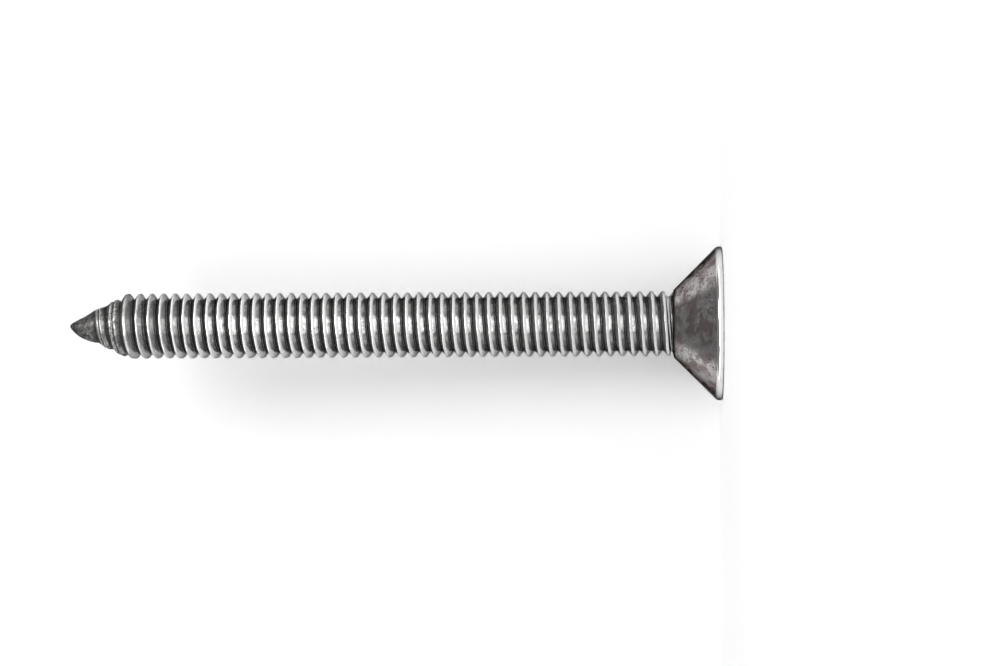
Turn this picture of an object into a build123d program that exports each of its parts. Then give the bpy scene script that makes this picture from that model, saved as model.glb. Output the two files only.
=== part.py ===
from build123d import *
import math
import os

# A countersunk socket screw: one solid, cold forged and thread rolled from steel wire.
# Millimetres. +Z runs along the axis, from the flat head face at Z = 0 to the point.
# The origin is the centre of the head face, on which the screw can stand by itself.

# Head
head_diameter = 9.3
land_height = 0.3  # straight rim between the face and the conical seat
rim_chamfer = 0.13  # bevel where the face meets the land
seat_angle = 90.0  # included angle of the conical seat, in degrees

# Shank: a right-hand thread. Its turns are closed rings here, one for each pitch and shallower
# than the real thread's 0.4, so that the solid stays light.
overall_length = 39.3
thread_diameter = 3.95
thread_pitch = 0.7
thread_depth = 0.18  # from the crests to the bottom of the grooves
plain_neck = 0.435  # from the seat to the first crest

# Point: a smooth nose with a rounded tip, and a taper on which the thread reaches its full size
taper_length = 2.15
nose_diameter = 1.84
nose_angle = 62.0  # included angle of the nose, in degrees
tip_radius = 0.15

# Hexagon socket, open at the face
socket_across_flats = 3.18
socket_depth = 2.3  # from the face to the foot of the walls
socket_chamfer = 0.17  # width and depth of the bevel round the mouth
dish_depth = 0.12  # how far the floor falls from its edge to the centre
pip_diameter = 0.96  # round pip that the forging punch leaves in the middle of the floor
pip_height = 0.3


def thread_outline(seat_end, taper_start, nose_start):
    """Crests and grooves by turns, from the first crest to the nose. Both shrink on the taper."""
    thread_radius = thread_diameter / 2
    nose_radius = nose_diameter / 2
    taper_slope = (thread_radius - nose_radius) / taper_length

    def crest_radius(height):
        return thread_radius - taper_slope * max(0, height - taper_start)

    def groove_radius(height):
        outside = crest_radius(height)
        size = (outside - nose_radius) / (thread_radius - nose_radius)
        return outside - thread_depth * size

    outline = []
    crest = seat_end + plain_neck
    while crest + thread_pitch / 2 < nose_start:
        groove = crest + thread_pitch / 2
        outline.append((crest_radius(crest), crest))
        outline.append((groove_radius(groove), groove))
        crest += thread_pitch
    return outline


def head_and_shank():
    """The solid of revolution: face, rim, land, conical seat, threaded shank and point."""
    head_radius = head_diameter / 2
    thread_radius = thread_diameter / 2
    nose_radius = nose_diameter / 2
    seat_slope = math.tan(math.radians(seat_angle / 2))
    seat_end = land_height + (head_radius - thread_radius) / seat_slope

    half_nose = math.radians(nose_angle / 2)
    tip_touch_radius = tip_radius * math.cos(half_nose)
    tip_touch_height = overall_length - tip_radius * (1 - math.sin(half_nose))
    nose_start = tip_touch_height - (nose_radius - tip_touch_radius) / math.tan(half_nose)
    taper_start = nose_start - taper_length

    with BuildPart() as body:
        with BuildSketch(Plane.XZ):
            with BuildLine():
                side = Polyline(
                    (0, 0),
                    (head_radius - rim_chamfer, 0),
                    (head_radius, rim_chamfer),
                    (head_radius, land_height),
                    (thread_radius, seat_end),
                    *thread_outline(seat_end, taper_start, nose_start),
                    (nose_radius, nose_start),
                    (tip_touch_radius, tip_touch_height),
                )
                tip = TangentArc(side @ 1, (0, overall_length), tangent=side % 1)
                Line(tip @ 1, side @ 0)
            make_face()
        revolve(axis=Axis.Z)
    return body.part


def socket_space():
    """The space that a hexagon key fills, with the bevelled mouth and the dished floor."""
    half_flats = socket_across_flats / 2
    mouth_half_flats = half_flats + socket_chamfer
    pip_top = socket_depth + dish_depth - pip_height

    with BuildPart() as space:
        with BuildSketch():
            RegularPolygon(half_flats, 6, major_radius=False)
        extrude(amount=socket_depth)
        with BuildSketch():
            RegularPolygon(mouth_half_flats, 6, major_radius=False)
        extrude(amount=socket_chamfer, taper=45)
        with Locations((0, 0, socket_depth)):
            Cone(half_flats, 0, dish_depth, align=(Align.CENTER, Align.CENTER, Align.MIN))
        with Locations((0, 0, pip_top)):
            Cylinder(
                pip_diameter / 2,
                pip_height,
                align=(Align.CENTER, Align.CENTER, Align.MIN),
                mode=Mode.SUBTRACT,
            )
    return space.part


screw = head_and_shank() - socket_space()

os.makedirs("parts", exist_ok=True)
export_step(screw, "parts/screw.step")
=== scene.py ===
import math

import bpy
from mathutils import Matrix, Vector, noise


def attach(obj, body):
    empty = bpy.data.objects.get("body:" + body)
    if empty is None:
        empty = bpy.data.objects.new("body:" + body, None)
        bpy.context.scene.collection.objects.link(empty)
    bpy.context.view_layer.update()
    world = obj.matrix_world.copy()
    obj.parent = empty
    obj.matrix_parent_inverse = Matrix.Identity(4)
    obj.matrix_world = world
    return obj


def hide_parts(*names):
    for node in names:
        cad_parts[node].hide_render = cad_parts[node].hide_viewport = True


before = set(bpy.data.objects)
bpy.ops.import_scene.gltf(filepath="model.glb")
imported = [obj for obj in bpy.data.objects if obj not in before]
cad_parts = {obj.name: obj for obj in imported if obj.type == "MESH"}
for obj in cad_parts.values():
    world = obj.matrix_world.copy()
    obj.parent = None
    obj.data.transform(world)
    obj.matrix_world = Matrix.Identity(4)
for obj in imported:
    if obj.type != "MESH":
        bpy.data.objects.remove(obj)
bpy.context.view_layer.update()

# A countersunk socket screw, standing on its head. +Z runs from the head face to the point.
# Sizes are in millimetres, as in the part's source, and MM turns them into metres.
MM = 0.001

# Head
HEAD_RADIUS = 4.65
LAND_TOP = 0.3  # where the straight land of the rim meets the conical seat
RIM_RADIUS = 0.11  # rounding between the face and the land
SEAT_CORNER_RADIUS = 0.28  # rounding between the land and the seat
LAND_LEAN = 0.008  # how far the land leans in towards the seat
LAND_GAP = 0.01  # between the end of the rim's rounding and the land's first ring
RIM_TURNS = (0, 15, 30, 45, 60, 75, 86)  # the rings of the rim's rounding, in degrees from the face
RIM_WEAR_START = 0.3  # share of rubbed steel where the rounding starts,
RIM_WEAR_TURNS = (40.0, 75.0)  # growing to all of it over these degrees
LAND_SHARES = (0.0, 0.1, 0.5, 0.9)  # the land's rings, as shares of its height
SEAT_CORNER_TURNS = (4, 10, 18, 27, 36, 45)  # the rings of the rounding into the seat, in degrees
SEAT_SHARES = (0.02, 0.05, 0.1, 0.2, 0.3, 0.4, 0.5, 0.6, 0.7, 0.8, 0.88, 0.94, 0.98, 1.0)
SEAT_WEAR_SHARES = (0.0, 0.03)  # over these shares of the seat the rubbed rim ends,
SEAT_SHADE_SHARES = (0.95, 1.0)  # and over these the painted shade in the corner with the neck starts
FACE_SHARES = (0.04, 0.25, 0.5, 0.75)  # the face's rings, as shares of the way from socket to rim
FACE_ROUNDING = 1.4  # how soon on that way the rings turn from hexagons into circles
FACE_EDGE_RINGS = ((0.15, 0.1), (0.03, 0.6))  # the last rings: distance from the rounding, and wear

# Shank
THREAD_RADIUS = 1.975
NECK_HEIGHT = LAND_TOP + HEAD_RADIUS - THREAD_RADIUS  # the seat rises at 45 degrees
SEAT_END = 2.9  # the last groove is cut into the foot of the seat, down to here
SEAT_CUT = (SEAT_END + 0.02, SEAT_END + 0.1)  # over these heights that groove takes the seat away
# The land ends where the rounding above it meets the seat without a step.
LAND_END = LAND_TOP + LAND_LEAN - SEAT_CORNER_RADIUS * math.tan(math.radians(22.5))
OVERALL_LENGTH = 39.3

# Thread
PITCH = 0.7
GROOVE_DEPTH = 0.33  # at the neck
GROOVE_GROWTH = 0.00075  # and so much more for each millimetre towards the point
CREST_PHASE = 0.575  # height of a crest above a whole number of pitches, on the -Y side
NEAR_SIDE = -0.25  # the -Y side, in turns from +X
GROOVE_RUN_OUT = 0.07  # the last groove reaches its depth over this height
CREST_WAVER = 0.022  # how unevenly the crests were rolled
WAVER_RADIUS = 2.0  # the unevenness is read from noise on a cylinder of this radius,
WAVER_LENGTHENING = 1.6  # stretched along the screw by this much
HEIGHT_WAVER_SCALE = 0.9
RADIUS_WAVER_SCALE = 1.3
RADIUS_WAVER_OFFSET = Vector((9.0, 0.0, 0.0))
FULL_WAVER_DEPTH = 0.2  # where the groove is shallower, its radius is more even
FIRST_TURN = 2
LAST_TURN = 56
POINT_TURN = 50  # the half-formed turns from here on keep the point's own finish
END_GAP = 0.015  # the thread's rows join the end rings where they come this close

# Point
TAPER_START = 35.8
TAPER_SLOPE = 0.5
NOSE_START = 37.82
FADING = (TAPER_START - 0.3, TAPER_START + 1.4)  # over these heights the groove gets shallower,
FADING_LOSS = 0.72  # by this share of its depth
GROOVE_END = (NOSE_START - 0.3, NOSE_START)
STRETCH_START = 35.5  # above this height the thread's lead grows
STRETCH = 0.088  # extra height in millimetres for each turn squared
# The nose's height and mean radius. It is fuller on the -X side.
NOSE_PROFILE = (
    (NOSE_START, 0.97), (37.9, 0.935), (38.05, 0.865), (38.22, 0.785), (38.42, 0.69), (38.6, 0.6),
    (38.76, 0.515), (38.92, 0.41), (39.05, 0.315), (39.15, 0.232), (39.22, 0.163), (39.27, 0.1),
    (39.293, 0.045),
)
NOSE_FULLNESS = 0.1  # how much fuller, at most,
NOSE_FULLNESS_POWER = 0.8  # and how broad that fullness is along the nose
NOSE_FULLNESS_END = 1.05  # it ends sooner than the nose by this factor
NOSE_EDGE_WEAR = 0.45  # share of rubbed steel where the nose starts
NOSE_EDGE_RESIDUE = 0.5
TIP_WEAR = 0.4

# Socket
SOCKET_APOTHEM = 1.59
SOCKET_DEPTH = 2.3
SOCKET_BEVEL = 0.17
MOUTH_ROUNDING = 0.02  # the rings at the bevel's upper edge stand this far inside it,
MOUTH_LIP = 0.01  # and this far outside it
MOUTH_STAND_OFF = 0.08  # from the bevel to the hexagon that the face's rings start as
SOCKET_CORNER_TRIM = 0.03  # how far the hexagon's corners are rounded off
SOCKET_CORNER = 0.06  # how far the floor's edge stands off the walls
SOCKET_CORNER_RISE = 0.02
SMALL_STEP = 0.015  # between the rings on either side of a sharp corner
DISH_DEPTH = 0.12
DISH_SHARES = (0.2, 0.5, 0.8)  # the dish's rings, as shares of the way from the pip to the walls
PIP_RADIUS = 0.48
PIP_HEIGHT = 0.3
PIP_WEAR_SHARES = (0.9, 1.1)  # over these shares of its radius the rubbed top turns into painted shade down its side
# The pip's rings, as shares of its radius and height. The last is its foot.
PIP_PROFILE = (
    (0.35, 0.99), (0.65, 0.97), (0.85, 0.92), (0.95, 0.8),
    (1.0, 0.6), (1.06, 0.25), (1.2, 0.05),
)
# The rings of the walls: height and share of painted shade, darker deeper down.
WALL_ROWS = (
    (SOCKET_DEPTH - 0.07, 0.9),
    (1.7, 0.3),
    (1.2, 0.1),
    (0.7, 0.0),
    (SOCKET_BEVEL + 0.03, 0.0),
)

# Wear and painted shade along the thread. Each pair of heights is where a change starts and ends.
FLANK_PAINTED_SHADE = 0.72  # share of painted shade on the flanks that face the point
ROOT_PAINTED_SHADE = 0.5  # painted shade in the bottom of the groove
ROOT_SINKS = (0.3, 1.0)  # the painted shade starts and is full at these shares of the groove's depth,
DEEP_SINKS = (0.8, 0.93)  # and the rest of it at these
CREST_SINKS = (0.02, 0.1)  # the rubbed crest fades between these shares of the depth,
YOUNG_CREST_SINKS = (0.03, 0.25)  # and so much deeper where the thread is half formed
PLAIN_NECK = (3.3, 3.4)  # below this the last groove is plain, down to the corner with the seat
# The painted shade in the corner with the seat fades out over these heights.
NECK_CORNER = (SEAT_END + 0.08, SEAT_END + 0.18)
NEAR_POINT = (30.5, 35.0)
YOUNG_THREAD = (TAPER_START - 0.6, TAPER_START + 0.4)
BLUNT_RIDGE_START = (35.2, 35.7)
BLUNT_RIDGE_END = (36.1, 36.4)
LAST_RIDGE = (36.6, 37.0)
WORN_EDGE_LOSS = 0.45  # share of the rubbed edge that is missing near the point and on the blunt ridge
YOUNG_FLANK_LOSS = 0.5
YOUNG_RESIDUE = 0.45
LAST_RIDGE_RESIDUE = 0.3
WORN_RESIDUE = 0.25
BLUNT_RESIDUE = 0.3
NEAR_POINT_MATT = 0.6
YOUNG_MATT = 0.4
NOSE_RESIDUE = 0.45

COLUMNS = 84  # around the screw, a multiple of six so that the hexagon's corners fall on them
SLOT_THREAD, SLOT_SEAT, SLOT_FACE, SLOT_SOCKET, SLOT_POINT = range(5)


def smooth_step(low, high, value):
    """0 below low, 1 above high, and a smooth rise between."""
    share = min(1.0, max(0.0, (value - low) / (high - low)))
    return share * share * (3.0 - 2.0 * share)


def column_angle(column):
    return 2.0 * math.pi * column / COLUMNS


# ---------------------------------------------------------------- the mesh that is being built
points = []
faces = []
face_slots = []
face_places = []  # where each corner of a face lies on the flat map
edge_marks = []  # 1 on edges and crests that are rubbed bright
film_and_painted_shade_marks = []  # 1 where the dark film of oil and oxide is, and where shade is painted in grooves, corners and on flanks
matt_marks = []  # 1 where the steel is matt, towards the point


def add_point(radius, angle, height, edge=0.0, film_and_painted_shade=0.0, matt=0.0):
    points.append((radius * math.cos(angle) * MM, radius * math.sin(angle) * MM, height * MM))
    edge_marks.append(edge)
    film_and_painted_shade_marks.append(film_and_painted_shade)
    matt_marks.append(matt)
    return len(points) - 1


def add_ring(radius, height, edge=0.0, film_and_painted_shade=0.0):
    """One closed ring of points. radius is a number or takes a column's angle."""
    ring = []
    for column in range(COLUMNS):
        angle = column_angle(column)
        ring_radius = radius(angle) if callable(radius) else radius
        ring.append(add_point(ring_radius, angle, height, edge, film_and_painted_shade))
    return ring


def add_face(corners, places, slot):
    """Adds a face, leaving out corners that coincide."""
    kept = [n for n in range(len(corners)) if corners[n] != corners[n - 1]]
    if len({corners[n] for n in kept}) >= 3:
        faces.append([corners[n] for n in kept])
        face_places.append([places[n] for n in kept])
        face_slots.append(slot)


# ---------------------------------------------------------------- the flat map for the finish
MAP_SCALE = 0.0285  # widths of the map for each millimetre


def band(left, bottom, length, upright=False):
    """A straight band of the map. share runs along it and run, in millimetres, across it."""
    def place(share, run):
        along = share * length
        across = run * MAP_SCALE
        return (left + across, bottom + along) if upright else (left + along, bottom + across)
    return place


def disc(middle_x, middle_y):
    """A round patch of the map. run is the distance from its middle in millimetres."""
    def place(share, run):
        angle = 2.0 * math.pi * share
        reach = run * MAP_SCALE
        return (middle_x + reach * math.cos(angle), middle_y + reach * math.sin(angle))
    return place


SEAT_MAP = band(0.005, 0.008, 0.861)
RIM_MAP = band(0.005, 0.122, 0.861)
FACE_MAP = disc(0.864, 0.29)
WALL_MAP = band(0.74, 0.44, 0.3135, upright=True)
FLOOR_MAP = disc(0.9, 0.53)
NOSE_MAP = disc(0.9, 0.7)
THREAD_MAPS = (band(0.005, 0.155, 0.354), band(0.369, 0.155, 0.354))

# Runs along the map, in millimetres, of rings that lie too close together for their real distance.
BEVEL_RUN = 0.2
MOUTH_RUN = 0.04
FACE_RUN_START = 0.12
RIM_RUN_START = 0.03
LAND_RUN_STEP = 0.05
CORNER_RUN_STEP = 0.04


def map_corners(place, share, next_share, run, next_run):
    """Where a face's four corners lie on the map, in the order of its corners."""
    low = [place(share, run), place(next_share, run)]
    high = [place(next_share, next_run), place(share, next_run)]
    return low + high


def bridge(below, above, place, slot):
    """Faces between two rings, each given with its run along the map."""
    ring, run = below
    next_ring, next_run = above
    for column in range(COLUMNS):
        after = (column + 1) % COLUMNS
        share = column / COLUMNS
        next_share = (column + 1) / COLUMNS
        corners = [ring[column], ring[after], next_ring[after], next_ring[column]]
        add_face(corners, map_corners(place, share, next_share, run, next_run), slot)


def bridge_all(rings, place, slot):
    """Faces between all rings of a list. Gives the last ring."""
    for below, above in zip(rings, rings[1:]):
        bridge(below, above, place, slot)
    return rings[-1][0]


# ---------------------------------------------------------------- head
def hexagon(apothem):
    """Distance from the axis to a hexagon with corners on +X and -X, by angle."""
    corner_limit = apothem / math.cos(math.pi / 6.0) - SOCKET_CORNER_TRIM

    def radius_at(angle):
        from_flat = (angle % (math.pi / 3.0)) - math.pi / 6.0
        return min(apothem / math.cos(from_flat), corner_limit)
    return radius_at


def between(radius_at, radius, share):
    """A ring's radius part of the way from another shape to a circle."""
    return lambda angle: (1.0 - share) * radius_at(angle) + share * radius


def build_socket_floor():
    """From the middle of the pip, over its edge and the dished floor, to the foot of the walls."""
    crown = SOCKET_DEPTH + DISH_DEPTH
    pip_foot = PIP_RADIUS * PIP_PROFILE[-1][0]
    centre = add_point(0.0, 0.0, crown - PIP_HEIGHT, edge=0.5)
    rings = [([centre] * COLUMNS, 0.0)]
    for share, rise in PIP_PROFILE:
        # The pip's side and foot get painted shade.
        wear = 1.0 - smooth_step(*PIP_WEAR_SHARES, share)
        ring = add_ring(PIP_RADIUS * share, crown - PIP_HEIGHT * rise, edge=wear, film_and_painted_shade=1.0 - wear)
        rings.append((ring, PIP_RADIUS * share))
    for share in DISH_SHARES:
        apothem = pip_foot + (SOCKET_APOTHEM - pip_foot) * share
        radius_at = between(hexagon(apothem), pip_foot, 1.0 - share)
        rings.append((add_ring(radius_at, crown - DISH_DEPTH * share * share), apothem))
    edge_apothem = SOCKET_APOTHEM - SOCKET_CORNER
    # Painted shade along the floor's edge and the foot of the walls.
    rings.append((add_ring(hexagon(edge_apothem), SOCKET_DEPTH, film_and_painted_shade=1.0), edge_apothem))
    foot_height = SOCKET_DEPTH - SOCKET_CORNER_RISE
    foot = add_ring(hexagon(SOCKET_APOTHEM - SMALL_STEP), foot_height, film_and_painted_shade=1.0)
    rings.append((foot, SOCKET_APOTHEM))
    return bridge_all(rings, FLOOR_MAP, SLOT_SOCKET)


def build_socket_walls(foot):
    """From the foot of the hexagon's walls to the bevel at its mouth."""
    wall = hexagon(SOCKET_APOTHEM)
    rings = [(foot, 0.0)]
    # The walls get darker deeper down with painted shade.
    for height, film_and_painted_shade in WALL_ROWS:
        rings.append((add_ring(wall, height, film_and_painted_shade=film_and_painted_shade), SOCKET_DEPTH - height))
    bevel_foot = add_ring(hexagon(SOCKET_APOTHEM + SMALL_STEP), SOCKET_BEVEL - SMALL_STEP, edge=1.0)
    rings.append((bevel_foot, SOCKET_DEPTH - SOCKET_BEVEL + SMALL_STEP))
    return bridge_all(rings, WALL_MAP, SLOT_SOCKET)


def build_face(bevel_foot):
    """From the socket's bevel over the flat face to the start of the rim's rounding."""
    mouth = SOCKET_APOTHEM + SOCKET_BEVEL
    flat_edge = HEAD_RADIUS - RIM_RADIUS
    rings = [(bevel_foot, mouth - BEVEL_RUN)]
    rings.append((add_ring(hexagon(mouth - MOUTH_ROUNDING), MOUTH_ROUNDING, edge=1.0), mouth))
    rings.append((add_ring(hexagon(mouth + MOUTH_LIP), 0.0, edge=0.8), mouth + MOUTH_RUN))
    for share in FACE_SHARES:
        radius = mouth + (flat_edge - mouth) * share
        radius_at = between(hexagon(mouth + MOUTH_STAND_OFF), radius, min(1.0, share * FACE_ROUNDING))
        rings.append((add_ring(radius_at, 0.0), max(mouth + FACE_RUN_START, radius)))
    for inset, wear in FACE_EDGE_RINGS:
        rings.append((add_ring(flat_edge - inset, 0.0, edge=wear), flat_edge - inset))
    return bridge_all(rings, FACE_MAP, SLOT_FACE)


def build_rim(face_edge):
    """The rounded rim, the nearly straight land and the rounding into the seat."""
    rings = [(face_edge, 0.0)]
    flat_edge = HEAD_RADIUS - RIM_RADIUS
    for degrees in RIM_TURNS:
        turn = math.radians(degrees)
        wear = RIM_WEAR_START + (1.0 - RIM_WEAR_START) * smooth_step(*RIM_WEAR_TURNS, degrees)
        height = RIM_RADIUS * (1.0 - math.cos(turn))
        ring = add_ring(flat_edge + RIM_RADIUS * math.sin(turn), height, edge=wear)
        rings.append((ring, RIM_RUN_START + RIM_RADIUS * turn))
    foot = RIM_RADIUS + LAND_GAP
    for share in LAND_SHARES:
        height = foot + (LAND_END - foot) * share
        ring = add_ring(HEAD_RADIUS - LAND_LEAN * share, height, edge=1.0)
        rings.append((ring, rings[-1][1] + LAND_RUN_STEP))
    corner = HEAD_RADIUS - LAND_LEAN - SEAT_CORNER_RADIUS
    for degrees in SEAT_CORNER_TURNS:
        turn = math.radians(degrees)
        radius = corner + SEAT_CORNER_RADIUS * math.cos(turn)
        ring = add_ring(radius, LAND_END + SEAT_CORNER_RADIUS * math.sin(turn), edge=1.0)
        rings.append((ring, rings[-1][1] + CORNER_RUN_STEP))
    return bridge_all(rings, RIM_MAP, SLOT_SEAT)


def build_seat(seat_foot):
    """The cone from the rim to the neck."""
    foot_height = LAND_END + SEAT_CORNER_RADIUS * math.sin(math.radians(45.0))
    rings = [(seat_foot, 0.0)]
    for share in SEAT_SHARES:
        height = foot_height + share * (SEAT_END - foot_height)
        wear = 1.0 - smooth_step(*SEAT_WEAR_SHARES, share)
        # Painted shade in the corner with the neck.
        dark_tone = smooth_step(*SEAT_SHADE_SHARES, share)
        ring = add_ring(HEAD_RADIUS + LAND_TOP - height, height, edge=wear, film_and_painted_shade=dark_tone)
        rings.append((ring, (height - foot_height) * math.sqrt(2.0)))
    return bridge_all(rings, SEAT_MAP, SLOT_SEAT)


# ---------------------------------------------------------------- thread
# The thread's section over one pitch: height above the crest's middle as a share of the pitch,
# and depth as a share of the groove's. The full thread has straight flanks and a narrow crest,
# highest on the side of the point. Next to the head a plain neck stands in for one flank. Towards
# the point the thread is half formed: first round and broad, then with a lip on each side, and at
# last a single low ridge.
FULL_SECTION = (
    (0.0, 0.045), (0.08, 0.0), (0.096, 0.02), (0.106, 0.044), (0.116, 0.07),
    (0.4, 0.817), (0.42, 0.87), (0.455, 0.94), (0.5, 1.0), (0.545, 0.94), (0.58, 0.87),
    (0.62, 0.757), (0.72, 0.479), (0.81, 0.238), (0.855, 0.119), (0.87, 0.08), (0.88, 0.066),
    (0.94, 0.054),
)
NECK_SECTION = (
    (0.0, 0.3), (0.08, 0.35), (0.1, 0.4), (0.12, 0.45), (0.14, 0.5),
    (0.36, 0.8), (0.4, 0.9), (0.45, 0.97), (0.5, 1.0), (0.54, 0.97), (0.58, 0.94),
    (0.62, 0.9), (0.72, 0.86), (0.8, 0.82), (0.845, 0.74), (0.866, 0.2), (0.88, 0.066),
    (0.94, 0.054),
)
ROUND_SECTION = (
    (0.0, 0.0), (0.045, 0.01), (0.08, 0.035), (0.1, 0.07), (0.115, 0.11),
    (0.385, 0.82), (0.402, 0.865), (0.45, 0.95), (0.5, 1.0), (0.55, 0.95), (0.598, 0.865),
    (0.64, 0.746), (0.74, 0.468), (0.82, 0.254), (0.87, 0.122), (0.885, 0.083), (0.91, 0.035),
    (0.955, 0.008),
)
BROAD_SECTION = (
    (0.0, 0.03), (0.07, 0.0), (0.14, 0.03), (0.18, 0.08), (0.215, 0.15),
    (0.42, 0.78), (0.44, 0.86), (0.463, 0.94), (0.5, 1.0), (0.537, 0.94), (0.56, 0.86),
    (0.58, 0.79), (0.65, 0.57), (0.7, 0.42), (0.74, 0.3), (0.8, 0.2), (0.86, 0.13), (0.93, 0.09),
)
LIPPED_SECTION = (
    (0.0, 0.5), (0.1, 0.34), (0.165, 0.0), (0.2, 0.02), (0.235, 0.15),
    (0.38, 0.8), (0.41, 0.88), (0.45, 0.95), (0.5, 1.0), (0.55, 0.95), (0.59, 0.88),
    (0.62, 0.8), (0.68, 0.6), (0.73, 0.42), (0.765, 0.3), (0.8, 0.12), (0.835, 0.1), (0.9, 0.42),
)
LAST_SECTION = (
    (0.0, 0.0), (0.04, 0.02), (0.06, 0.08), (0.09, 0.22), (0.13, 0.4),
    (0.28, 0.8), (0.34, 0.88), (0.42, 0.96), (0.5, 1.0), (0.58, 0.98), (0.66, 0.93),
    (0.72, 0.85), (0.78, 0.76), (0.83, 0.66), (0.88, 0.5), (0.93, 0.3), (0.95, 0.14), (0.97, 0.04),
)
SECTION_POINTS = len(FULL_SECTION)
# The sections by the height at which the thread has each.
SECTIONS = (
    (2.78, NECK_SECTION),
    (3.1, FULL_SECTION),
    (29.0, FULL_SECTION),
    (33.0, ROUND_SECTION),
    (34.9, ROUND_SECTION),
    (35.6, BROAD_SECTION),
    (36.4, LIPPED_SECTION),
    (37.3, LAST_SECTION),
)


def section_at(height, place):
    """A place of the section at a height, between the two sections nearest to it."""
    for (low, section), (high, next_section) in zip(SECTIONS, SECTIONS[1:]):
        if height < high:
            share = smooth_step(low, high, height)
            rise, sink = section[place]
            next_rise, next_sink = next_section[place]
            return rise + (next_rise - rise) * share, sink + (next_sink - sink) * share
    return SECTIONS[-1][1][place]


def crest_height(turn):
    """Height of the crest's middle after so many turns."""
    plain = CREST_PHASE + PITCH * (turn - NEAR_SIDE)
    beyond = max(0.0, (plain - STRETCH_START) / PITCH)
    return plain + STRETCH * beyond * beyond


def crest_radius(height):
    on_seat = max(0.0, NECK_HEIGHT - height)  # the last groove cuts into the foot of the seat
    on_seat *= 1.0 - smooth_step(*SEAT_CUT, height)
    return THREAD_RADIUS + on_seat - TAPER_SLOPE * max(0.0, height - TAPER_START)


def groove_depth(height):
    at_neck = smooth_step(SEAT_END, SEAT_END + GROOVE_RUN_OUT, height)
    at_point = 1.0 - FADING_LOSS * smooth_step(*FADING, height)
    at_point *= 1.0 - smooth_step(*GROOVE_END, height)
    return (GROOVE_DEPTH + GROOVE_GROWTH * height) * at_neck * at_point


def thread_wear(height, rise, sink):
    """How rubbed, how dark with film and painted shade, and how matt the thread is at a place of its
    section.
    """
    near_point = smooth_step(*NEAR_POINT, height)
    young = smooth_step(*YOUNG_THREAD, height)
    blunt = smooth_step(*BLUNT_RIDGE_START, height) * (1.0 - smooth_step(*BLUNT_RIDGE_END, height))
    last_ridge = smooth_step(*LAST_RIDGE, height)
    worn = near_point * (1.0 - last_ridge)
    fade_start, fade_end = (plain + more * young for plain, more in zip(CREST_SINKS, YOUNG_CREST_SINKS))
    crest = 1.0 - smooth_step(fade_start, fade_end, sink)
    edge = crest * (1.0 - WORN_EDGE_LOSS * worn) * (1.0 - WORN_EDGE_LOSS * blunt)
    flank_painted_shade = FLANK_PAINTED_SHADE if rise <= 0.5 else 0.0  # painted shade on the flank that faces the point
    # Painted shade in the bottom of the groove, left out of the plain last groove.
    root = ROOT_PAINTED_SHADE * smooth_step(*ROOT_SINKS, sink)
    root += (1.0 - ROOT_PAINTED_SHADE) * smooth_step(*DEEP_SINKS, sink)
    root *= smooth_step(*PLAIN_NECK, height)
    # Painted shade in the corner with the seat.
    neck_painted_shade = 1.0 - smooth_step(*NECK_CORNER, height)
    half_formed = YOUNG_RESIDUE * young + LAST_RIDGE_RESIDUE * last_ridge
    film_and_painted_shade = max(flank_painted_shade * (1.0 - YOUNG_FLANK_LOSS * young), root, neck_painted_shade, half_formed)
    film_and_painted_shade = max(film_and_painted_shade * (1.0 - edge), WORN_RESIDUE * worn + BLUNT_RESIDUE * blunt)
    return edge, film_and_painted_shade, NEAR_POINT_MATT * near_point + YOUNG_MATT * young


def thread_point(row, column, neck, nose):
    """A point of a row that winds round with the thread, or past either end the ring's own point."""
    turn_index, place = divmod(row, SECTION_POINTS)
    turn = turn_index + column / COLUMNS
    low = crest_height(turn)
    high = crest_height(turn + 1.0)
    rise, sink = section_at(low, place)
    height = low + (high - low) * rise
    angle = column_angle(column)
    across, along = math.cos(angle) * WAVER_RADIUS, math.sin(angle) * WAVER_RADIUS
    spot = Vector((across, along, height * WAVER_LENGTHENING))
    height += CREST_WAVER * noise.noise(spot * HEIGHT_WAVER_SCALE)
    if height < SEAT_END + END_GAP:
        return neck[column]
    if height > NOSE_START - END_GAP:
        return nose[column]
    depth = groove_depth(height)
    uneven = CREST_WAVER * noise.noise(spot * RADIUS_WAVER_SCALE + RADIUS_WAVER_OFFSET)
    uneven = abs(uneven) * smooth_step(0.0, FULL_WAVER_DEPTH, depth)
    radius = crest_radius(height) - depth * sink - uneven
    edge, film_and_painted_shade, matt = thread_wear(height, rise, sink)
    return add_point(radius, angle, height, edge, film_and_painted_shade, matt)


def section_runs():
    """Length along a full section up to each of its points, and over a whole pitch."""
    runs = [0.0]
    closed = (*FULL_SECTION, (1.0, 0.0))
    for (rise, sink), (next_rise, next_sink) in zip(closed, closed[1:]):
        step = math.hypot((next_rise - rise) * PITCH, (next_sink - sink) * GROOVE_DEPTH)
        runs.append(runs[-1] + step)
    return runs


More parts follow.
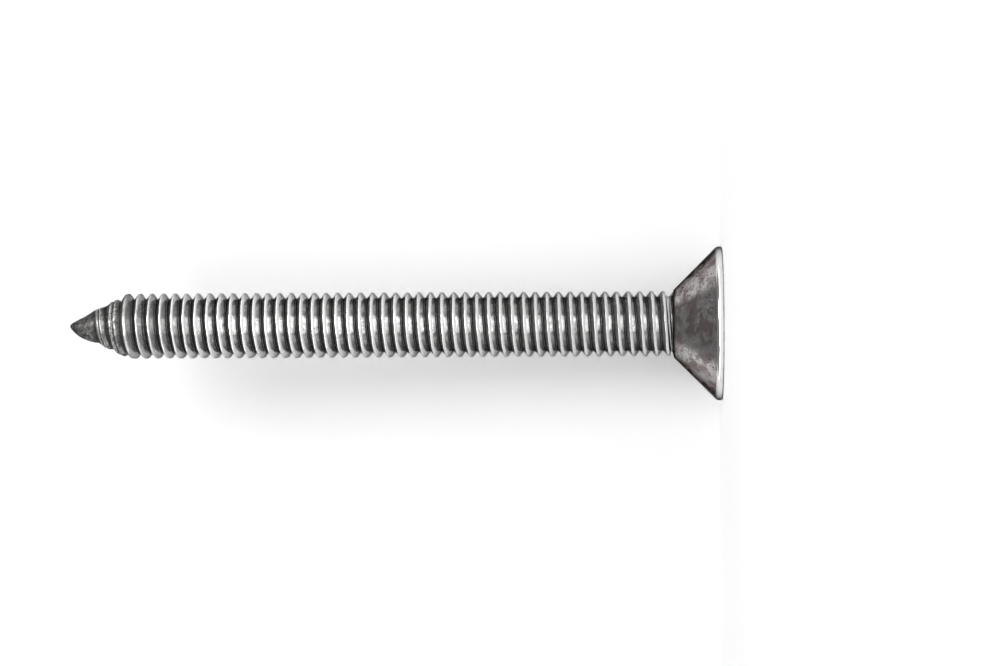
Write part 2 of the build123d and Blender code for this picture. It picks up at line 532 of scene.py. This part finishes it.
def build_thread(neck, nose):
    """Winds the section round the shank, from the neck to the nose."""
    point_row = (POINT_TURN - FIRST_TURN) * SECTION_POINTS - SECTION_POINTS // 2
    runs = section_runs()
    pitch_run = runs[-1]
    half_turns = (LAST_TURN - FIRST_TURN) // 2
    rows = []
    for row in range(FIRST_TURN * SECTION_POINTS, LAST_TURN * SECTION_POINTS):
        rows.append([thread_point(row, column, neck, nose) for column in range(COLUMNS)])
    for index in range(len(rows) - SECTION_POINTS - 1):
        slot = SLOT_POINT if index >= point_row else SLOT_THREAD
        turn_index, place_index = divmod(index, SECTION_POINTS)
        map_index, map_turn = divmod(turn_index, half_turns)
        place = THREAD_MAPS[map_index]
        run = map_turn * pitch_run + runs[place_index]
        next_run = map_turn * pitch_run + runs[place_index + 1]
        row, next_row = rows[index], rows[index + 1]
        # A row that has gone round once goes on in the row of the next turn.
        wound_row, next_wound_row = rows[index + SECTION_POINTS], rows[index + SECTION_POINTS + 1]
        for column in range(COLUMNS):
            after = column + 1
            if after < COLUMNS:
                corners = [row[column], row[after], next_row[after], next_row[column]]
            else:
                corners = [row[column], wound_row[0], next_wound_row[0], next_row[column]]
            places = map_corners(place, column / COLUMNS, after / COLUMNS, run, next_run)
            add_face(corners, places, slot)


# ---------------------------------------------------------------- nose
def nose_radius(mean_radius, fullness):
    """A nose ring's radius by angle, fuller on the -X side."""
    return lambda angle: mean_radius - fullness * math.cos(angle)


def build_nose(nose):
    """A blunt nose above the thread, fuller on one side."""
    tip = add_point(0.0, 0.0, OVERALL_LENGTH, edge=TIP_WEAR)
    rings = [nose]
    for height, mean_radius in NOSE_PROFILE[1:]:
        share = (height - NOSE_START) / (OVERALL_LENGTH - NOSE_START)
        swell = math.sin(math.pi * min(1.0, share * NOSE_FULLNESS_END))
        fullness = NOSE_FULLNESS * swell ** NOSE_FULLNESS_POWER
        rings.append(add_ring(nose_radius(mean_radius, fullness), height, film_and_painted_shade=NOSE_RESIDUE))
    rings.append([tip] * COLUMNS)
    profile = (*NOSE_PROFILE, (OVERALL_LENGTH, 0.0))
    runs = [0.0]
    for (height, radius), (next_height, next_radius) in reversed(list(zip(profile, profile[1:]))):
        runs.append(runs[-1] + math.hypot(next_height - height, next_radius - radius))
    bridge_all(list(zip(rings, reversed(runs))), NOSE_MAP, SLOT_POINT)


wall_foot = build_socket_floor()
mouth_bevel = build_socket_walls(wall_foot)
face_edge = build_face(mouth_bevel)
seat_foot = build_rim(face_edge)
neck_ring = build_seat(seat_foot)
nose_ring = add_ring(NOSE_PROFILE[0][1], NOSE_START, edge=NOSE_EDGE_WEAR, film_and_painted_shade=NOSE_EDGE_RESIDUE)
build_thread(neck_ring, nose_ring)
build_nose(nose_ring)

mesh = bpy.data.meshes.new("screw_body")
mesh.from_pydata(points, [], faces)
mesh.polygons.foreach_set("material_index", face_slots)
mesh.polygons.foreach_set("use_smooth", [True] * len(faces))
flat_map = mesh.uv_layers.new(name="OFBake")
map_numbers = [number for places in face_places for spot in places for number in spot]
flat_map.data.foreach_set("uv", map_numbers)
for name, marks in (("edge", edge_marks), ("film_and_painted_shade", film_and_painted_shade_marks), ("matt", matt_marks)):
    mesh.attributes.new(name, "FLOAT", "POINT").data.foreach_set("value", marks)
screw = bpy.data.objects.new("screw_body", mesh)
bpy.context.scene.collection.objects.link(screw)


# ---------------------------------------------------------------- finishes
# The effects that several steels share are groups. A group's texture sizes are in millimetres.
MOTTLE_SPREAD = 0.36  # the patches span this much of their noise on either side of its middle,
MOTTLE_NARROWING = 0.3  # less this much at full contrast
MARK_RANGE = (0.3, 0.7)
PIT_LIMIT = 0.86  # the level of noise from which there is a pit,
PIT_AMOUNT_DROP = 0.3  # lower by this at an amount of 1,
PIT_CROWDING_DROP = 0.25  # and by this where pits crowd together
PIT_CROWDING_SCALE = 0.9
PIT_RIM = 0.07  # how gently a pit starts
EDGE_GRAIN_START = 0.35
EDGE_RANGE = (0.25, 0.75)
MARKED_SHARE = 0.7  # how much of the clean steel is left between two turning marks
MATT_ROUGHNESS = 0.36

# A Mix node has one set of sockets for each kind of data.
MIX_VALUE_INPUTS, MIX_VALUE_OUTPUT = (2, 3), 0
MIX_COLOUR_INPUTS, MIX_COLOUR_OUTPUT = (6, 7), 2


def start_group(name, inputs):
    """A group with number inputs and one output, Mask."""
    group = bpy.data.node_groups.new(name, "ShaderNodeTree")
    for socket, value in inputs:
        made = group.interface.new_socket(name=socket, in_out="INPUT", socket_type="NodeSocketFloat")
        made.default_value = value
    group.interface.new_socket(name="Mask", in_out="OUTPUT", socket_type="NodeSocketFloat")
    return group, group.nodes.new("NodeGroupInput"), group.nodes.new("NodeGroupOutput")


def give_value(tree, value, socket):
    """Sets a socket to a number, or links an output to it."""
    if isinstance(value, (int, float)):
        socket.default_value = value
    else:
        tree.links.new(value, socket)


def math_node(tree, operation, first, second=None, clamp=False):
    """A Math node. first and second are numbers or outputs."""
    node = tree.nodes.new("ShaderNodeMath")
    node.operation = operation
    node.use_clamp = clamp
    give_value(tree, first, node.inputs[0])
    if second is not None:
        give_value(tree, second, node.inputs[1])
    return node.outputs[0]


def noise_node(tree, vector, scale, detail, roughness=0.5, fourth=None):
    """A Noise node. With a fourth value its noise changes along that as well."""
    node = tree.nodes.new("ShaderNodeTexNoise")
    tree.links.new(vector, node.inputs["Vector"])
    give_value(tree, scale, node.inputs["Scale"])
    give_value(tree, detail, node.inputs["Detail"])
    give_value(tree, roughness, node.inputs["Roughness"])
    if fourth is not None:
        node.noise_dimensions = "4D"
        give_value(tree, fourth, node.inputs["W"])
    return node.outputs["Fac"]


def stretch_mask(tree, value, low, high):
    """0 at low, 1 at high, smooth between. low and high are numbers or outputs."""
    node = tree.nodes.new("ShaderNodeMapRange")
    node.interpolation_type = "SMOOTHSTEP"
    tree.links.new(value, node.inputs["Value"])
    give_value(tree, low, node.inputs["From Min"])
    give_value(tree, high, node.inputs["From Max"])
    return node.outputs["Result"]


def millimetres(tree):
    """Object coordinates in millimetres."""
    place = tree.nodes.new("ShaderNodeTexCoord")
    scaled = tree.nodes.new("ShaderNodeVectorMath")
    scaled.operation = "SCALE"
    scaled.inputs["Scale"].default_value = 1.0 / MM
    tree.links.new(place.outputs["Object"], scaled.inputs[0])
    return scaled.outputs["Vector"]


def mark_value(tree, name):
    """What the mesh's points say of their wear."""
    mark = tree.nodes.new("ShaderNodeAttribute")
    mark.attribute_name = name
    return mark.outputs["Fac"]


def make_mottle():
    """Soft uneven patches, where the film on the steel is thinner or thicker."""
    group, given, result = start_group("mottle", (("Size", 1.0), ("Contrast", 0.5)))
    scale = math_node(group, "DIVIDE", 1.0, given.outputs["Size"])
    patches = noise_node(group, millimetres(group), scale, detail=5.0, roughness=0.62)
    narrowing = math_node(group, "MULTIPLY", given.outputs["Contrast"], MOTTLE_NARROWING)
    spread = math_node(group, "SUBTRACT", MOTTLE_SPREAD, narrowing)
    low = math_node(group, "SUBTRACT", 0.5, spread)
    high = math_node(group, "ADD", 0.5, spread)
    group.links.new(stretch_mask(group, patches, low, high), result.inputs["Mask"])
    return group


def make_turning_marks():
    """Fine marks that run round the screw, as the rolling dies and the lathe leave them."""
    group, given, result = start_group("turning_marks", (("Spacing", 0.03), ("Length", 1.5)))
    place = millimetres(group)
    parts = group.nodes.new("ShaderNodeSeparateXYZ")
    group.links.new(place, parts.inputs[0])
    across = math_node(group, "MULTIPLY", parts.outputs["X"], parts.outputs["X"])
    other = math_node(group, "MULTIPLY", parts.outputs["Y"], parts.outputs["Y"])
    radius = math_node(group, "SQRT", math_node(group, "ADD", across, other))
    steps = math_node(group, "DIVIDE", radius, given.outputs["Spacing"])
    scale = math_node(group, "DIVIDE", 1.0, given.outputs["Length"])
    marks = noise_node(group, place, scale, detail=2.0, roughness=0.6, fourth=steps)
    group.links.new(stretch_mask(group, marks, *MARK_RANGE), result.inputs["Mask"])
    return group


def make_pits():
    """Small round pits and specks, scattered unevenly."""
    group, given, result = start_group("pits", (("Size", 0.08), ("Amount", 0.3)))
    place = millimetres(group)
    scale = math_node(group, "DIVIDE", 1.0, given.outputs["Size"])
    specks = noise_node(group, place, scale, detail=2.0, roughness=0.6)
    crowding = noise_node(group, place, PIT_CROWDING_SCALE, detail=2.0)
    amount_drop = math_node(group, "MULTIPLY", given.outputs["Amount"], PIT_AMOUNT_DROP)
    crowding_drop = math_node(group, "MULTIPLY", crowding, PIT_CROWDING_DROP)
    limit = math_node(group, "SUBTRACT", PIT_LIMIT, amount_drop)
    limit = math_node(group, "SUBTRACT", limit, crowding_drop)
    limit_end = math_node(group, "ADD", limit, PIT_RIM)
    group.links.new(stretch_mask(group, specks, limit, limit_end), result.inputs["Mask"])
    return group


def make_rubbed_edges():
    """Bright steel along the edges and crests, broken up a little."""
    group, given, result = start_group("rubbed_edges", (("Break Up", 0.4), ("Size", 0.25)))
    scale = math_node(group, "DIVIDE", 1.0, given.outputs["Size"])
    grain = noise_node(group, millimetres(group), scale, detail=4.0, roughness=0.6)
    grain = math_node(group, "SUBTRACT", grain, EDGE_GRAIN_START)
    loss = math_node(group, "MULTIPLY", grain, given.outputs["Break Up"])
    left = math_node(group, "SUBTRACT", mark_value(group, "edge"), loss, clamp=True)
    group.links.new(stretch_mask(group, left, *EDGE_RANGE), result.inputs["Mask"])
    return group


def make_film_and_painted_shade():
    """Painted shade in corners, in the grooves, in the socket and on the flanks that face the point,
    and the dark film towards the point.
    """
    group, given, result = start_group("film_and_painted_shade", (("Unevenness", 0.3), ("Size", 0.5)))
    scale = math_node(group, "DIVIDE", 1.0, given.outputs["Size"])
    grain = noise_node(group, millimetres(group), scale, detail=4.0, roughness=0.65)
    grain = math_node(group, "SUBTRACT", grain, 0.5)
    uneven = math_node(group, "MULTIPLY", grain, given.outputs["Unevenness"])
    dark_tone = math_node(group, "ADD", mark_value(group, "film_and_painted_shade"), uneven, clamp=True)
    group.links.new(dark_tone, result.inputs["Mask"])
    return group


MOTTLE = make_mottle()
TURNING_MARKS = make_turning_marks()
PITS = make_pits()
RUBBED_EDGES = make_rubbed_edges()
FILM_AND_PAINTED_SHADE = make_film_and_painted_shade()


def place_group(tree, group, **values):
    """Places a group in a material with its own values, and gives its mask."""
    node = tree.nodes.new("ShaderNodeGroup")
    node.node_tree = group
    for name, value in values.items():
        node.inputs[name.replace("_", " ").title()].default_value = value
    return node.outputs["Mask"]


def blend_colour(tree, mask, first, second):
    """first where mask is 0, second where it is 1. Each is a colour or an output."""
    node = tree.nodes.new("ShaderNodeMix")
    node.data_type = "RGBA"
    tree.links.new(mask, node.inputs["Factor"])
    for index, value in zip(MIX_COLOUR_INPUTS, (first, second)):
        if isinstance(value, tuple):
            node.inputs[index].default_value = (*value, 1.0)
        else:
            tree.links.new(value, node.inputs[index])
    return node.outputs[MIX_COLOUR_OUTPUT]


def blend_value(tree, mask, first, second):
    """first where mask is 0, second where it is 1. Each is a number or an output."""
    node = tree.nodes.new("ShaderNodeMix")
    node.data_type = "FLOAT"
    tree.links.new(mask, node.inputs["Factor"])
    for index, value in zip(MIX_VALUE_INPUTS, (first, second)):
        give_value(tree, value, node.inputs[index])
    return node.outputs[MIX_VALUE_OUTPUT]


def steel(name, colours, roughness, grazing, masks, relief):
    """A steel: clean and dull patches with marks, a dark film and painted shade over them, pits and
    rubbed edges.
    grazing is how bright it stays where it is seen at a flat angle."""
    material = bpy.data.materials.new(name)
    material.use_nodes = True
    tree = material.node_tree
    shader = tree.nodes["Principled BSDF"]
    shader.inputs["Metallic"].default_value = 1.0
    shader.inputs["Specular Tint"].default_value = (grazing, grazing, grazing, 1.0)
    mottle = place_group(tree, MOTTLE, **masks["mottle"])
    marks = place_group(tree, TURNING_MARKS, **masks["marks"])
    pits = place_group(tree, PITS, **masks["pits"])
    edges = place_group(tree, RUBBED_EDGES, **masks["edges"])
    film_and_painted_shade = place_group(tree, FILM_AND_PAINTED_SHADE, **masks["film_and_painted_shade"])
    wear = blend_value(tree, marks, math_node(tree, "MULTIPLY", mottle, MARKED_SHARE), mottle)

    colour = blend_colour(tree, wear, colours["dull"], colours["clean"])
    # Painted shade and the dark film.
    colour = blend_colour(tree, film_and_painted_shade, colour, colours["dark_tone"])
    colour = blend_colour(tree, pits, colour, colours["dark_tone"])
    colour = blend_colour(tree, edges, colour, colours["rubbed"])
    tree.links.new(colour, shader.inputs["Base Color"])

    rough = blend_value(tree, wear, roughness["dull"], roughness["clean"])
    rough = blend_value(tree, film_and_painted_shade, rough, roughness["dark_tone"])
    rough = blend_value(tree, edges, rough, roughness["rubbed"])
    rough = blend_value(tree, mark_value(tree, "matt"), rough, MATT_ROUGHNESS)
    tree.links.new(rough, shader.inputs["Roughness"])

    sound = math_node(tree, "SUBTRACT", 1.0, edges)  # the rubbed edges have no pits
    holes = math_node(tree, "MULTIPLY", pits, sound)
    height = math_node(tree, "MULTIPLY", marks, relief["marks"])
    height = math_node(tree, "SUBTRACT", height, math_node(tree, "MULTIPLY", holes, relief["pits"]))
    height = math_node(tree, "ADD", height, math_node(tree, "MULTIPLY", mottle, relief["mottle"]))
    bump = tree.nodes.new("ShaderNodeBump")
    bump.inputs["Distance"].default_value = MM
    tree.links.new(height, bump.inputs["Height"])
    tree.links.new(bump.outputs["Normal"], shader.inputs["Normal"])
    return material


# Bright rolled steel with painted shade in the grooves and on the flanks that face the point.
THREAD_STEEL = steel(
    "thread_steel",
    colours={
        "clean": (0.64, 0.64, 0.638),
        "dull": (0.485, 0.484, 0.482),
        "dark_tone": (0.056, 0.056, 0.055),
        "rubbed": (0.67, 0.67, 0.668),
    },
    roughness={"clean": 0.12, "dull": 0.18, "dark_tone": 0.15, "rubbed": 0.18},
    grazing=0.32,
    masks={
        "mottle": {"size": 0.22, "contrast": 0.6},
        "marks": {"spacing": 0.05, "length": 0.8},
        "pits": {"size": 0.07, "amount": 0.3},
        "edges": {"break_up": 0.35, "size": 0.2},
        "film_and_painted_shade": {"unevenness": 0.6, "size": 0.2},
    },
    relief={"marks": 0.0004, "pits": 0.004, "mottle": 0.0012},
)

# Matt, speckled steel where the point was pinched off.
POINT_STEEL = steel(
    "point_steel",
    colours={
        "clean": (0.7, 0.695, 0.685),
        "dull": (0.17, 0.167, 0.163),
        "dark_tone": (0.08, 0.078, 0.075),
        "rubbed": (0.68, 0.676, 0.67),
    },
    roughness={"clean": 0.32, "dull": 0.42, "dark_tone": 0.38, "rubbed": 0.28},
    grazing=0.3,
    masks={
        "mottle": {"size": 0.22, "contrast": 0.95},
        "marks": {"spacing": 0.06, "length": 0.6},
        "pits": {"size": 0.09, "amount": 0.6},
        "edges": {"break_up": 0.6, "size": 0.15},
        "film_and_painted_shade": {"unevenness": 0.5, "size": 0.25},
    },
    relief={"marks": 0.001, "pits": 0.01, "mottle": 0.0},
)

# Forged steel with a brownish tint, almost a mirror, and its rubbed rim.
SEAT_STEEL = steel(
    "seat_steel",
    colours={
        "clean": (0.54, 0.526, 0.522),
        "dull": (0.27, 0.23, 0.225),
        "dark_tone": (0.055, 0.048, 0.047),
        "rubbed": (0.78, 0.774, 0.77),
    },
    roughness={"clean": 0.16, "dull": 0.26, "dark_tone": 0.24, "rubbed": 0.16},
    grazing=0.02,
    masks={
        "mottle": {"size": 0.7, "contrast": 0.95},
        "marks": {"spacing": 0.08, "length": 1.6},
        "pits": {"size": 0.11, "amount": 0.42},
        "edges": {"break_up": 0.5, "size": 0.5},
        "film_and_painted_shade": {"unevenness": 0.6, "size": 0.7},
    },
    relief={"marks": 0.0012, "pits": 0.008, "mottle": 0.0},
)

# Matt, finely pitted steel of the head's face.
FACE_STEEL = steel(
    "face_steel",
    colours={
        "clean": (0.62, 0.61, 0.6),
        "dull": (0.45, 0.44, 0.43),
        "dark_tone": (0.16, 0.155, 0.15),
        "rubbed": (0.8, 0.79, 0.78),
    },
    roughness={"clean": 0.4, "dull": 0.52, "dark_tone": 0.5, "rubbed": 0.28},
    grazing=0.4,
    masks={
        "mottle": {"size": 0.5, "contrast": 0.65},
        "marks": {"spacing": 0.12, "length": 3.0},
        "pits": {"size": 0.13, "amount": 0.45},
        "edges": {"break_up": 0.35, "size": 0.25},
        "film_and_painted_shade": {"unevenness": 0.5, "size": 0.5},
    },
    relief={"marks": 0.0006, "pits": 0.008, "mottle": 0.0},
)

# Duller steel inside the socket, bright on the edges.
SOCKET_STEEL = steel(
    "socket_steel",
    colours={
        "clean": (0.36, 0.35, 0.34),
        "dull": (0.22, 0.21, 0.2),
        "dark_tone": (0.08, 0.078, 0.075),
        "rubbed": (0.75, 0.74, 0.73),
    },
    roughness={"clean": 0.3, "dull": 0.45, "dark_tone": 0.4, "rubbed": 0.28},
    grazing=0.4,
    masks={
        "mottle": {"size": 0.6, "contrast": 0.6},
        "marks": {"spacing": 0.05, "length": 1.0},
        "pits": {"size": 0.1, "amount": 0.5},
        "edges": {"break_up": 0.5, "size": 0.25},
        "film_and_painted_shade": {"unevenness": 0.5, "size": 0.5},
    },
    relief={"marks": 0.001, "pits": 0.006, "mottle": 0.0},
)

# In the order of the SLOT numbers.
for material in (THREAD_STEEL, SEAT_STEEL, FACE_STEEL, SOCKET_STEEL, POINT_STEEL):
    mesh.materials.append(material)

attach(screw, "root")
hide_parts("screw")


# ---------------------------------------------------------------- stage
STAGE_REACH = 600.0
WALL_HEIGHT = 235.0
TABLE_HEIGHT = 47.0
TABLE_LEAN = 0.13
TABLE_GAP = 0.02  # between the table and the head's rim
FLOOR_HEIGHT = -0.02
FLOOR_OPENING = 4.4  # radius, just inside the head's rim
STAGE_PANELS = 96
FAR_RANGE = (90.0, 420.0)  # the far glow starts and is full at these distances from the head's face
TABLE_GREY = 0.71
TABLE_GLOW = 0.06
FLOOR_GREY = 0.82
FLOOR_GLOW = 0.12
FLOOR_FAR_GLOW = 0.7
WALL_GREY = 0.4
WALL_GLOW = 0.9


def paper(name, grey, glow, far_glow=0.0):
    """Pale paper that keeps shadows. glow lifts it where it is seen directly or in metal, and
    far_glow as well, far from the screw, where the lamps no longer reach."""
    material = bpy.data.materials.new(name)
    material.use_nodes = True
    tree = material.node_tree
    tree.nodes.clear()
    diffuse = tree.nodes.new("ShaderNodeBsdfDiffuse")
    diffuse.inputs["Color"].default_value = (grey, grey, grey, 1.0)
    path = tree.nodes.new("ShaderNodeLightPath")
    seen = math_node(tree, "MAXIMUM", path.outputs["Is Camera Ray"], path.outputs["Is Glossy Ray"])
    seen = math_node(tree, "MAXIMUM", seen, path.outputs["Is Transmission Ray"])
    distance = tree.nodes.new("ShaderNodeVectorMath")
    distance.operation = "LENGTH"
    tree.links.new(millimetres(tree), distance.inputs[0])
    far = stretch_mask(tree, distance.outputs["Value"], *FAR_RANGE)
    lifted = math_node(tree, "ADD", math_node(tree, "MULTIPLY", far, far_glow), glow)
    lift = tree.nodes.new("ShaderNodeEmission")
    tree.links.new(math_node(tree, "MULTIPLY", seen, lifted), lift.inputs["Strength"])
    both = tree.nodes.new("ShaderNodeAddShader")
    tree.links.new(diffuse.outputs[0], both.inputs[0])
    tree.links.new(lift.outputs[0], both.inputs[1])
    clear = tree.nodes.new("ShaderNodeBsdfTransparent")
    geometry = tree.nodes.new("ShaderNodeNewGeometry")
    side = tree.nodes.new("ShaderNodeMixShader")
    tree.links.new(geometry.outputs["Backfacing"], side.inputs[0])
    tree.links.new(both.outputs[0], side.inputs[1])
    tree.links.new(clear.outputs[0], side.inputs[2])
    out = tree.nodes.new("ShaderNodeOutputMaterial")
    tree.links.new(side.outputs[0], out.inputs["Surface"])
    return material


def add_stage(name, corners, sides, material):
    data = bpy.data.meshes.new(name)
    data.from_pydata([Vector(corner) * MM for corner in corners], [], sides)
    data.materials.append(material)
    made = bpy.data.objects.new(name, data)
    bpy.context.scene.collection.objects.link(made)


def add_round_stage(name, first_ring, second_ring, material):
    """Flat panels between two rings, each given as its reach and its height."""
    corners, sides = [], []
    for panel in range(STAGE_PANELS):
        angle = 2.0 * math.pi * panel / STAGE_PANELS
        for reach, height in (first_ring, second_ring):
            corners.append((reach * math.sin(angle), -reach * math.cos(angle), height))
        here = 2 * panel
        after = 2 * ((panel + 1) % STAGE_PANELS)
        sides.append((here, here + 1, after + 1, after))
    add_stage(name, corners, sides, material)


def build_table():
    """The table stands against the head's rim, behind the screw, and leans back from there."""
    foot = HEAD_RADIUS + TABLE_GAP
    top = foot + TABLE_LEAN * TABLE_HEIGHT
    corners = [
        (-STAGE_REACH, foot, FLOOR_HEIGHT),
        (STAGE_REACH, foot, FLOOR_HEIGHT),
        (STAGE_REACH, top, TABLE_HEIGHT),
        (-STAGE_REACH, top, TABLE_HEIGHT),
    ]
    add_stage("table", corners, [(0, 1, 2, 3)], paper("table_paper", TABLE_GREY, TABLE_GLOW))


def build_floor():
    """A round floor. It is left open under the head, where nothing of it shows, so that the face
    isn't in the dark when the screw is looked at from below."""
    material = paper("floor_paper", FLOOR_GREY, FLOOR_GLOW, far_glow=FLOOR_FAR_GLOW)
    add_round_stage("floor", (FLOOR_OPENING, FLOOR_HEIGHT), (STAGE_REACH, FLOOR_HEIGHT), material)


def build_wall():
    """A low round wall, seen from its inside only."""
    material = paper("wall_paper", WALL_GREY, WALL_GLOW)
    add_round_stage("wall", (STAGE_REACH, FLOOR_HEIGHT), (STAGE_REACH, WALL_HEIGHT), material)


build_table()
build_floor()
build_wall()

# ---------------------------------------------------------------- light
LAMP_DISTANCE = 260.0
LAMP_AIM = 20.0  # the lamps face the screw's axis at this height
ROOM_ABOVE = 0.22  # how bright the room is above the floor
ROOM_BELOW = 0.85  # and under it
HORIZON = (-0.05, 0.0)  # the one turns into the other between these slopes of the line of sight


def softbox(name, azimuth, elevation, width, height, brightness, shape="RECTANGLE"):
    """A plain lamp. azimuth is from -Y towards +X and elevation from the floor, in degrees.
    brightness is how bright the lamp looks in a mirror, where 1 is white."""
    data = bpy.data.lights.new(name, "AREA")
    data.shape = shape
    data.size = width * MM
    data.size_y = height * MM
    area = data.size * data.size_y
    if shape == "ELLIPSE":
        area *= math.pi / 4.0
    data.energy = brightness * math.pi * area
    turn = math.radians(azimuth)
    rise = math.radians(elevation)
    way = Vector((math.sin(turn) * math.cos(rise), -math.cos(turn) * math.cos(rise), math.sin(rise)))
    lamp = bpy.data.objects.new(name, data)
    lamp.location = (Vector((0.0, 0.0, LAMP_AIM)) + way * LAMP_DISTANCE) * MM
    lamp.rotation_euler = way.to_track_quat("Z", "Y").to_euler()
    lamp.visible_camera = False
    bpy.context.scene.collection.objects.link(lamp)


def build_room():
    """Soft light from all round, brighter from below, for the head's face."""
    world = bpy.data.worlds.new("room")
    world.use_nodes = True
    tree = world.node_tree
    room = tree.nodes["Background"]
    room.inputs["Color"].default_value = (1.0, 1.0, 1.0, 1.0)
    sight = tree.nodes.new("ShaderNodeTexCoord")
    slopes = tree.nodes.new("ShaderNodeSeparateXYZ")
    tree.links.new(sight.outputs["Generated"], slopes.inputs[0])
    above = stretch_mask(tree, slopes.outputs["Z"], *HORIZON)
    tree.links.new(blend_value(tree, above, ROOM_BELOW, ROOM_ABOVE), room.inputs["Strength"])
    bpy.context.scene.world = world


softbox(
    "strip_lamp", azimuth=2.0, elevation=22.0, width=400.0, height=46.0, brightness=12.2,
    shape="ELLIPSE",
)
softbox("upper_side_lamp", azimuth=82.0, elevation=21.0, width=400.0, height=60.0, brightness=2.45)
softbox("lower_side_lamp", azimuth=-82.0, elevation=21.0, width=400.0, height=60.0, brightness=2.6)
softbox("upper_lamp", azimuth=24.0, elevation=38.0, width=110.0, height=110.0, brightness=6.1)
build_room()

# ---------------------------------------------------------------- camera
CAMERA_DISTANCE = 126.7
CAMERA_SIDE = -0.56  # below the axis in the picture, along X
CAMERA_HEIGHT = 4.33
CAMERA_ROLL = math.radians(0.28)
LENS = 75.6
SENSOR = 36.0
SHIFT = -0.15  # the picture's middle lies nearer the point than the camera does
NEAREST, FARTHEST = 5.0, 5000.0  # what the camera sees, in millimetres from it


def build_camera():
    """It looks along +Y, with the screw's point to the left and +X at the top."""
    right = Vector((-math.sin(CAMERA_ROLL), 0.0, -math.cos(CAMERA_ROLL)))
    up = Vector((math.cos(CAMERA_ROLL), 0.0, -math.sin(CAMERA_ROLL)))
    back = right.cross(up)
    turned = Matrix((right, up, back)).transposed().to_4x4()
    moved = Matrix.Translation(Vector((CAMERA_SIDE, -CAMERA_DISTANCE, CAMERA_HEIGHT)) * MM)
    data = bpy.data.cameras.new("camera")
    data.lens = LENS
    data.sensor_width = SENSOR
    data.shift_x = SHIFT
    data.clip_start = NEAREST * MM
    data.clip_end = FARTHEST * MM
    camera = bpy.data.objects.new("camera", data)
    camera.matrix_world = moved @ turned
    bpy.context.scene.collection.objects.link(camera)
    bpy.context.scene.camera = camera


build_camera()
bpy.context.scene.view_settings.view_transform = "Standard"
